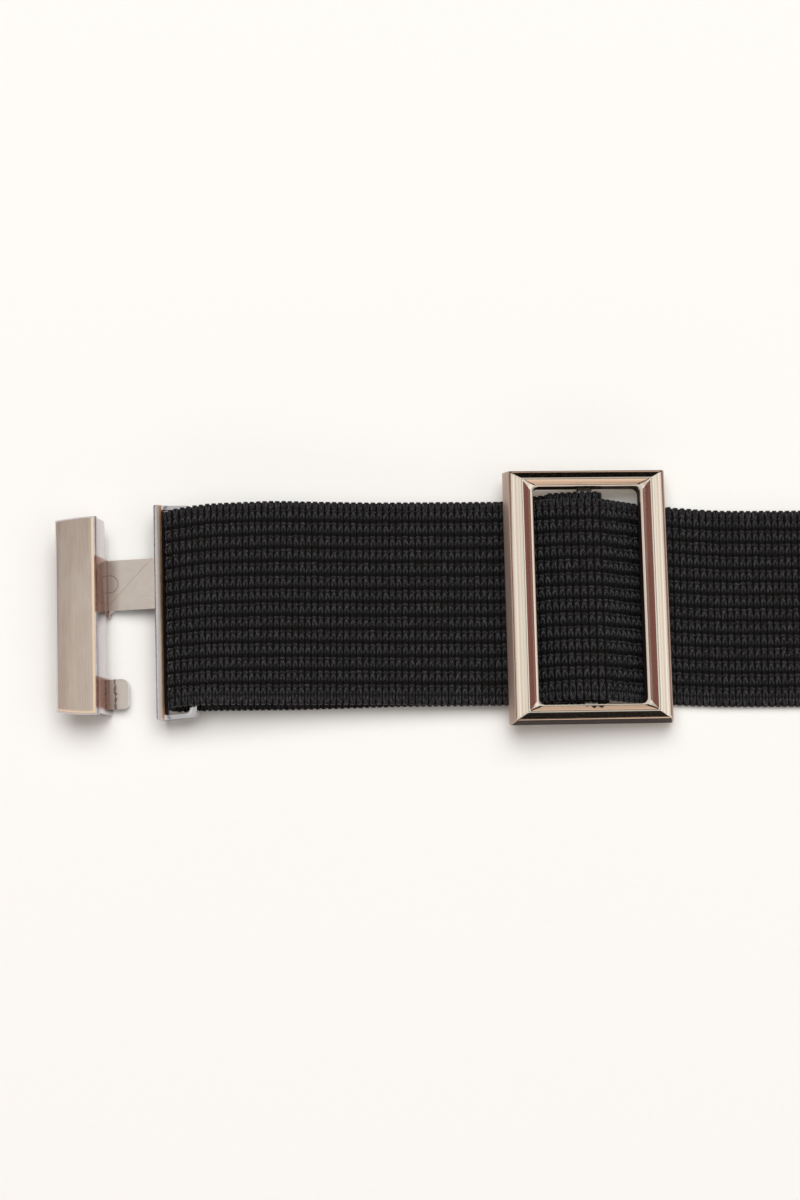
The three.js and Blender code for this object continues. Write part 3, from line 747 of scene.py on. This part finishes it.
def stitching_tree():
    """Geometry nodes that set one yarn piece on every guide point, turned to the strap."""
    tree = bpy.data.node_groups.new("stitches_on_strap", "GeometryNodeTree")
    for name, kind, value in (
        ("Guide", "Geometry", None), ("Yarn Piece", "Object", None), ("Yarn", "Material", None),
        ("Unevenness", "Float", 0.13), ("Twist", "Float", 0.14), ("Seed", "Int", 3),
    ):
        socket = tree.interface.new_socket(name, in_out="INPUT", socket_type=f"NodeSocket{kind}")
        if value is not None:
            socket.default_value = value
    tree.interface.new_socket("Stitches", in_out="OUTPUT", socket_type="NodeSocketGeometry")
    wiring = Wiring(tree)
    given = wiring.node("NodeGroupInput").outputs

    def named(name, kind):
        made = wiring.node("GeometryNodeInputNamedAttribute", {"Name": name}, data_type=kind)
        return made.outputs["Attribute"]

    def random(low, high):
        made = wiring.node("FunctionNodeRandomValue", {"Seed": given["Seed"]}, data_type="FLOAT")
        for socket, value in zip([s for s in made.inputs if s.enabled], (low, high)):
            wiring.feed(socket, value)
        return next(s for s in made.outputs if s.enabled)

    piece = wiring.node("GeometryNodeObjectInfo", {"Object": given["Yarn Piece"]})
    turn = wiring.node("FunctionNodeAxesToRotation", {
        "Primary Axis": named("out", "FLOAT_VECTOR"),
        "Secondary Axis": named("heading", "FLOAT_VECTOR"),
    }, primary_axis="Z", secondary_axis="X")
    uneven = random(
        wiring.math("SUBTRACT", 1.0, given["Unevenness"]), wiring.math("ADD", 1.0, given["Unevenness"]))
    size = wiring.node("ShaderNodeCombineXYZ", {0: named("stretch", "FLOAT"), 1: uneven, 2: uneven})
    laid = wiring.node("GeometryNodeInstanceOnPoints", {
        "Points": given["Guide"],
        "Instance": piece.outputs["Geometry"],
        "Rotation": turn.outputs["Rotation"],
        "Scale": size.outputs[0],
    })
    twist = random(wiring.multiply(given["Twist"], -1.0), given["Twist"])
    twisted = wiring.node("GeometryNodeRotateInstances", {
        "Instances": laid.outputs[0],
        "Rotation": wiring.node("ShaderNodeCombineXYZ", {2: twist}).outputs[0],
    })
    toned = wiring.node("GeometryNodeStoreNamedAttribute", {"Name": "tone"},
                        data_type="FLOAT", domain="INSTANCE")
    wiring.feed(toned.inputs["Geometry"], twisted.outputs[0])
    wiring.feed(toned.inputs["Value"], random(0.0, 1.0))
    whole = wiring.node("GeometryNodeRealizeInstances", {0: toned.outputs[0]})
    dressed = wiring.node("GeometryNodeSetMaterial", {
        "Geometry": whole.outputs[0], "Material": given["Yarn"],
    })
    wiring.node("NodeGroupOutput", {0: dressed.outputs[0]})
    return tree


def guide_points(name, places, heading, out, stretch):
    """A mesh of loose points that carry the strap's heading, its outward side and the stretch."""
    guide = mesh_object(name, places, [])
    for attribute, kind, key, values in (
        ("heading", "FLOAT_VECTOR", "vector", heading),
        ("out", "FLOAT_VECTOR", "vector", out),
        ("stretch", "FLOAT", "value", stretch),
    ):
        layer = guide.data.attributes.new(attribute, kind, "POINT")
        layer.data.foreach_set(key, np.ascontiguousarray(values, dtype=np.float32).ravel())
    return guide


def sew(name, guide, yarn_piece, tree, material, unevenness=0.13, twist=0.14, seed=3):
    """Runs the stitching tree on the guide points and keeps its result as a plain mesh."""
    modifier = guide.modifiers.new("stitching", "NODES")
    modifier.node_group = tree
    values = {"Yarn Piece": yarn_piece, "Yarn": material, "Unevenness": unevenness,
              "Twist": twist, "Seed": seed}
    for item in tree.interface.items_tree:
        if item.item_type == "SOCKET" and item.in_out == "INPUT" and item.name in values:
            modifier[item.identifier] = values[item.name]
    bpy.context.view_layer.update()
    evaluated = guide.evaluated_get(bpy.context.evaluated_depsgraph_get())
    mesh = bpy.data.meshes.new_from_object(evaluated)
    mesh.name = name
    guide.modifiers.remove(modifier)
    bpy.data.objects.remove(guide)
    obj = bpy.data.objects.new(name, mesh)
    bpy.context.scene.collection.objects.link(obj)
    return obj


def stitch_places(s, across, inset, lift, flip=False):
    """Places, headings, outward sides and stretch for yarn pieces at the distances s."""
    places = strap_line.points(s, across, inset, lift)
    heading = strap_line.frames(s)[-1]
    along = np.stack((np.cos(heading), np.zeros_like(heading), np.sin(heading)), axis=-1)
    out = np.stack((-np.sin(heading), np.zeros_like(heading), np.cos(heading)), axis=-1)
    if flip:
        out = -out
    return places, along, out, np.interp(s, strap_line.s, stitch_pitch) / STITCH_LENGTH


def column_distances():
    """Where along the strap each column of stitches lies."""
    middles = np.arange(0.5, stitch_count[-1] - 0.2, 1.0)
    return np.interp(middles, stitch_count, strap_line.s)


def gathered(sets):
    """Several sets of places joined into one."""
    return [np.concatenate(part) for part in zip(*sets)]


def knit_pieces(yarn):
    """All the strap's stitches, as plain meshes, in stretches that keep each piece light."""
    tree = stitching_tree()
    columns = column_distances()
    face_lift = STRAP_THICKNESS / 2 - FACE_DEPTH
    back_lift = BACK_DEPTH - STRAP_THICKNESS / 2
    face_piece, back_piece = face_stitch(), back_stitch()
    selvage_piece, loop_piece = selvage_stitch(), edge_loop()
    pieces = []
    for side, stretches, yarn_piece, lift, flip, seed in (
        ("face", 3, face_piece, face_lift, False, 11), ("back", 2, back_piece, back_lift, True, 21),
    ):
        for index, part in enumerate(np.array_split(columns, stretches)):
            rows = [stitch_places(part, rib_centre(rib), 0, lift, flip) for rib in range(RIB_COUNT)]
            guide = guide_points(f"{side}_guide", *gathered(rows))
            name = f"{side}_stitches_{index + 1}"
            pieces.append(sew(name, guide, yarn_piece, tree, yarn, seed=seed + index))
    margins = [
        stitch_places(columns, 1, -FACE_MARGIN, face_lift),
        stitch_places(columns, 0, FACE_MARGIN, face_lift),
        stitch_places(columns, 1, -BACK_MARGIN, back_lift, True),
        stitch_places(columns, 0, BACK_MARGIN, back_lift, True),
    ]
    guide = guide_points("selvage_guide", *gathered(margins))
    pieces.append(sew("selvage_stitches", guide, selvage_piece, tree, yarn,
                      unevenness=0.06, twist=0.05, seed=31))
    loops = []
    for across, side in ((1, 1.0), (0, -1.0)):
        places, along, _, stretch = stitch_places(columns, across, -side * EDGE_LOOP_INSET, 0.0)
        out = np.tile((0.0, side, 0.0), (len(columns), 1))
        loops.append((places, along, out, stretch))
    guide = guide_points("loop_guide", *gathered(loops))
    pieces.append(sew("edge_loops", guide, loop_piece, tree, yarn,
                      unevenness=0.1, twist=0.05, seed=41))
    for scratch in (face_piece, back_piece, selvage_piece, loop_piece):
        bpy.data.objects.remove(scratch)
    return pieces


# The slider


def slider_place(s, t, h):
    """The slider's own point in the frame: s along the belt, t across it, h above its underside."""
    tilt, turn = math.radians(SLIDER_TILT), math.radians(SLIDER_TURN)
    x = s * math.cos(tilt) + h * math.sin(tilt)
    z = -s * math.sin(tilt) + h * math.cos(tilt)
    return (
        SLIDER_X + x * math.cos(turn) - t * math.sin(turn),
        SLIDER_Y + x * math.sin(turn) + t * math.cos(turn),
        SLIDER_LIFT + z,
    )


# A rail's section: share of its width from the outer foot to the window, and height
RAIL_SECTION = [
    (0.03, 0), (0, 0.13), (0.115, 3.56), (0.13, 3.73), (0.165, 3.86), (0.27, 4.08), (0.38, 4.31),
    (0.48, 4.52), (0.52, 4.6), (0.55, 4.66), (0.58, 4.69), (0.61, 4.68), (0.63, 4.64), (0.65, 4.58),
    (0.67, 4.51), (0.9, 3.75), (0.92, 3.7), (0.935, 3.68), (0.98, 3.65), (0.992, 3.6), (1, 3.45),
    (1, 0.4), (0.975, 0.12), (0.92, 0),
]
# Rows of the section's faces: the outer wall with its edge, and the window wall with its feet
OUTER_WALL = (1, 3)
WINDOW_WALL = (20, 22)
# Corner radii outside and in the window, and the share of the rail's width where they start to change
OUTER_CORNER = 0.32
WINDOW_CORNER = 1.3
CORNER_CHANGE = 0.6
CORNER_STEPS = 8
# The end rails' columns of faces, and the order of the slider's finishes
END_RAILS = (CORNER_STEPS, 3 * CORNER_STEPS + 2)
SHADED_SATIN, PAINTED_SHADE = 1, 2
# How far the map of the polishing lines runs round the slider, and what a rise adds across a rail
POLISH_ROUND = 8.0
POLISH_RISE = 0.3


def slider_frame(polished, shaded_satin, painted_shade):
    """The slider's four rails as one ring with mitred corners, mapped round and across its section."""
    rings, spans = [], []
    for across, height in RAIL_SECTION:
        half_length = SLIDER_LENGTH / 2 - across * SIDE_RAIL
        half_width = SLIDER_WIDTH / 2 - across * END_RAIL
        share = max((across - CORNER_CHANGE) / (1 - CORNER_CHANGE), 0)
        radius = OUTER_CORNER + (WINDOW_CORNER - OUTER_CORNER) * share * share * (3 - 2 * share)
        ring = []
        for corner, (sx, sy) in enumerate(((1, 1), (-1, 1), (-1, -1), (1, -1))):
            for step in range(CORNER_STEPS + 1):
                angle = (corner + step / CORNER_STEPS) * math.pi / 2
                s = sx * (half_length - radius) + radius * math.cos(angle)
                t = sy * (half_width - radius) + radius * math.sin(angle)
                ring.append(slider_place(s, t, height))
        rings.append(ring)
        spans.append(across * SIDE_RAIL + height * POLISH_RISE)
    count = len(rings[0])
    points = [p for ring in rings for p in ring]
    obj = mesh_object("slider_frame", points, ring_faces(count, len(rings), True), polished)
    obj.data.materials.append(shaded_satin)
    obj.data.materials.append(painted_shade)
    # Painted shade: the window walls and the end rails' outer walls take the near-black finish, and the
    # side rails' outer walls take the darker satin.
    for face in obj.data.polygons:
        row, column = divmod(face.index, count)
        outside = OUTER_WALL[0] <= row <= OUTER_WALL[1]
        in_window = WINDOW_WALL[0] <= row <= WINDOW_WALL[1]
        if in_window or (outside and column in END_RAILS):
            face.material_index = PAINTED_SHADE
        elif outside:
            face.material_index = SHADED_SATIN
    polish = obj.data.uv_layers.new(name="polish")
    for loop in obj.data.loops:
        ring, j = divmod(loop.vertex_index, count)
        polish.data[loop.index].uv = (spans[ring], j / count * POLISH_ROUND)
    shade_smooth(obj, angle=24)
    return obj


def slider_bar(material):
    """The flat centre bar that the strap's end is sewn round."""
    half, top, chamfer = 1.5, 0.9, 0.25
    reach = SLIDER_WIDTH / 2 - END_RAIL + 0.3
    section = [
        (chamfer - half, 0), (half - chamfer, 0), (half, chamfer), (half, top - chamfer),
        (half - chamfer, top), (chamfer - half, top), (-half, top - chamfer), (-half, chamfer),
    ]
    points = [slider_place(s, t, h) for t in (-reach, reach) for s, h in section]
    count = len(section)
    faces = [(j, j + count, (j + 1) % count + count, (j + 1) % count) for j in range(count)]
    faces += [tuple(range(count)), tuple(range(2 * count - 1, count - 1, -1))]
    obj = mesh_object("slider_bar", points, faces, material)
    face_outward(obj)
    shade_smooth(obj, angle=30)
    return obj


# The clasp halves

# In the casting's own plan: the round pin mark, the spans of the painted brown shade by neck and tab, and
# the loop
PIN_ALONG = 0.15
PIN_ACROSS = 6.3
PIN_RADIUS = 1.7
NECK_CORNER = (0.2, 11.0)
TAB_SPAN = (-18.5, -12.6)
LOOP_START = 10.0
# The plate's front: its right edge, its width, its lower edge, and how far that rises to the left
PLATE_RIGHT = -0.85
PLATE_WIDTH = 7.6
PLATE_FOOT = -19.65
PLATE_FOOT_RISE = 0.75
# The order of the casting's finishes
FRONT, FOOT, SIDE, LOOP_WALL = range(4)
# Edges sharper than this angle in degrees are rounded by this width
CRISP_ANGLE = 30
EDGE_ROUNDING = 0.09
# A face looks straight up, or straight along the belt, when that share of its direction is over this
STRAIGHT = 0.9
# How far off a level in height a face may lie, and how wide the loop's near wall is
LEVEL_SLACK = 0.3
LOOP_WALL_WIDTH = 2


def casting_matrix(half_turn):
    """From the casting's own frame to the belt's, in metres; the mating half is turned round."""
    own = Matrix.Translation((WALL_THICKNESS * MM, 0, 0))
    tilt = Matrix.Rotation(math.radians(-CLASP_TILT), 4, "Y")
    turn = Matrix.Rotation(math.radians(CLASP_TURN), 4, "Z")
    place = Matrix.Translation((CLASP_X * MM, CLASP_Y * MM, 0))
    whole = place @ turn @ tilt @ own
    return Matrix.Rotation(math.pi, 4, "Z") @ whole if half_turn else whole


def clasp_casting(name, node, half_turn, finishes):
    """The casting with its edges softened, and its front, feet, sides and loop finished apart."""
    obj = bpy.data.objects.new(name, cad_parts[node].data.copy())
    bpy.context.scene.collection.objects.link(obj)
    obj.data.materials.clear()
    for finish in finishes:
        obj.data.materials.append(finish)
    own = casting_matrix(half_turn).inverted()
    bm = bmesh.new()
    bm.from_mesh(obj.data)
    bmesh.ops.remove_doubles(bm, verts=bm.verts, dist=0.005 * MM)
    # With a wider angle the rounding leaves two stray faces at the mating clasp's neck
    bmesh.ops.dissolve_limit(bm, angle_limit=math.radians(0.1), verts=bm.verts, edges=bm.edges)
    limit = math.radians(CRISP_ANGLE)
    crisp = [
        edge for edge in bm.edges
        if len(edge.link_faces) == 2 and edge.is_convex and edge.calc_face_angle(0) > limit
    ]
    bmesh.ops.bevel(bm, geom=crisp, offset=EDGE_ROUNDING * MM, segments=2, profile=0.6,
                    affect="EDGES", clamp_overlap=True)
    bmesh.ops.triangulate(bm, faces=[face for face in bm.faces if len(face.verts) > 4])
    bm.normal_update()
    plan = bm.loops.layers.uv.new("casting")
    for face in bm.faces:
        middle = own @ face.calc_center_median() / MM
        facing = (own.to_3x3() @ face.normal).normalized()
        level = facing.z > STRAIGHT
        on_loop_bevel = 0.5 < facing.z < STRAIGHT and facing.x > 0.4 and middle.x > LOOP_START
        # The loop's near wall takes the near-black finish, a painted shade.
        if facing.x > STRAIGHT and LOOP_START < middle.x < LOOP_START + LOOP_WALL_WIDTH:
            face.material_index = LOOP_WALL
        elif on_loop_bevel or (level and middle.z > PLATE_TOP - LEVEL_SLACK):
            face.material_index = FRONT
        elif level and abs(middle.z - FOOT_TOP) < LEVEL_SLACK:
            face.material_index = FOOT
        else:
            face.material_index = SIDE
        face.smooth = True
        for loop in face.loops:
            spot = own @ loop.vert.co / MM
            loop[plan].uv = (spot.x, spot.y)
    bm.to_mesh(obj.data)
    bm.free()
    shade_smooth(obj, angle=24)
    return obj


# The set

# Brightness of the ceiling, what it gains above both ends, and the low glows in front and behind
CEILING = 0.7
END_BOXES = 0.2
FRONT_GLOW = 0.85
REAR_GLOW = 0.7
# Brightness of the brown things low down beyond both ends of the belt
LOW_BROWN = 0.75
# Heights, in a direction of length one, between which the ceiling starts, and its slope to the right
CEILING_EDGE = (0.635, 0.685)
CEILING_SLOPE = 0.22
# Where the camera's stand hides some of the ceiling, and how much of it is left there
STAND = (0.28, 0.14, 0.95)
STAND_LEFT = 0.4
# The light that casts the shadows: its power, place, aim and size
KEY_POWER = 72.0
KEY_PLACE = (-0.24, 1.4, 2.6)
KEY_AIM = (-0.24, 0, 0)
KEY_SIZE = (2.7, 2.3)


def camera():
    """The photograph's viewpoint: nearly straight down, a little from the strap's lower edge."""
    tilt = math.radians(8.5)
    distance = 450.0
    aim = Vector((-262.7, -0.7, 5.0))
    data = bpy.data.cameras.new("camera")
    data.sensor_fit = "VERTICAL"
    data.sensor_height = 36
    data.lens = 69.05
    data.clip_start = 0.01
    data.clip_end = 20
    obj = bpy.data.objects.new("camera", data)
    obj.location = (aim + Vector((0, -math.sin(tilt), math.cos(tilt))) * distance) * MM
    obj.rotation_euler = (tilt, 0, 0)
    bpy.context.scene.collection.objects.link(obj)
    bpy.context.scene.camera = obj


def paper_floor():
    """The pale sheet that the belt lies on."""
    reach = 4000
    corners = [(-reach, -reach, 0), (reach, -reach, 0), (reach, reach, 0), (-reach, reach, 0)]
    floor = mesh_object("paper_floor", corners, [(0, 1, 2, 3)], floor_material())


def key_light():
    """A soft rectangular light from above and behind; metal doesn't mirror it."""
    data = bpy.data.lights.new("key", "AREA")
    data.shape = "RECTANGLE"
    data.size, data.size_y = KEY_SIZE
    data.energy = KEY_POWER
    obj = bpy.data.objects.new("key", data)
    obj.visible_glossy = False
    obj.location = KEY_PLACE
    obj.rotation_euler = (Vector(KEY_AIM) - Vector(KEY_PLACE)).to_track_quat("-Z", "Y").to_euler()
    bpy.context.scene.collection.objects.link(obj)


def studio_room():
    """The room that the metal mirrors: a soft ceiling, low glows in front and behind, brown ends."""
    world = bpy.data.worlds.new("studio")
    bpy.context.scene.world = world
    world.use_nodes = True
    room = Wiring(world.node_tree)
    way = room.node("ShaderNodeTexCoord").outputs["Generated"]
    along, across, up = room.node("ShaderNodeSeparateXYZ", {0: way}).outputs
    outward = room.math("ABSOLUTE", along)
    height = room.math("ADD", up, room.multiply(along, CEILING_SLOPE))
    overhead = room.spread(height, *CEILING_EDGE)
    ceiling = room.multiply(overhead, room.spread(outward, 0.4, 0.5, CEILING, CEILING + END_BOXES))
    rear_end = room.spread(across, 0.6, 0.8, 1.0, 0.03)
    front_end = room.spread(across, -0.66, -0.42, 0.03, 1.0)
    ceiling = room.multiply(ceiling, room.multiply(rear_end, front_end))
    towards_stand = room.node("ShaderNodeVectorMath", {
        0: way, 1: Vector(STAND).normalized(),
    }, operation="DOT_PRODUCT").outputs["Value"]
    ceiling = room.multiply(ceiling, room.spread(towards_stand, 0.98, 0.99, 1.0, STAND_LEFT))
    front = room.multiply(
        room.spread(across, -0.75, -0.55, FRONT_GLOW, 0.0), room.spread(up, 0.42, 0.49, 1.0, 0.0))
    rear = room.multiply(
        room.spread(across, 0.9, 0.95, 0.0, REAR_GLOW), room.spread(up, 0.16, 0.24, 1.0, 0.0))
    brown = room.multiply(
        room.spread(outward, 0.45, 0.7, 0.0, LOW_BROWN), room.spread(height, *CEILING_EDGE, 1.0, 0.0))

    def tinted(strength, colour):
        inputs = {0: colour, "Scale": strength}
        return room.node("ShaderNodeVectorMath", inputs, operation="SCALE").outputs[0]

    def together(first, second):
        return room.node("ShaderNodeVectorMath", {0: first, 1: second}).outputs[0]

    low_glow = tinted(room.math("ADD", front, rear), (1.0, 0.84, 0.72))
    lower = together(low_glow, tinted(brown, (0.27, 0.125, 0.115)))
    total = together(tinted(ceiling, (0.99, 1.03, 1.03)), lower)
    room.feed(room.tree.nodes["Background"].inputs["Color"], total)


def plain_view():
    """Colours as they come from the light, without a film look."""
    settings = bpy.context.scene.view_settings
    settings.view_transform = "Standard"
    settings.look = "None"


camera()
paper_floor()
studio_room()
key_light()
plain_view()

yarn = yarn_material()
polished, shaded_satin, painted_shade = polished_material(), shaded_satin_material(), painted_shade_material()
finishes = [brushed_material(), foot_material(), casting_material(), painted_shade]

finish_piece(strap_ground(ground_material()), "black_elastic", "strap")
for piece in knit_pieces(yarn):
    finish_piece(piece, "black_elastic")
finish_piece(slider_frame(polished, shaded_satin, painted_shade), "polished_gold", "slider")
finish_piece(slider_bar(polished), "polished_gold")
hook = clasp_casting("hook_clasp_casting", "hook_clasp", False, finishes)
finish_piece(hook, "brushed_gold", "hook_clasp")
mating = clasp_casting("mating_clasp_casting", "mating_clasp", True, finishes)
finish_piece(mating, "brushed_gold", "mating_clasp")
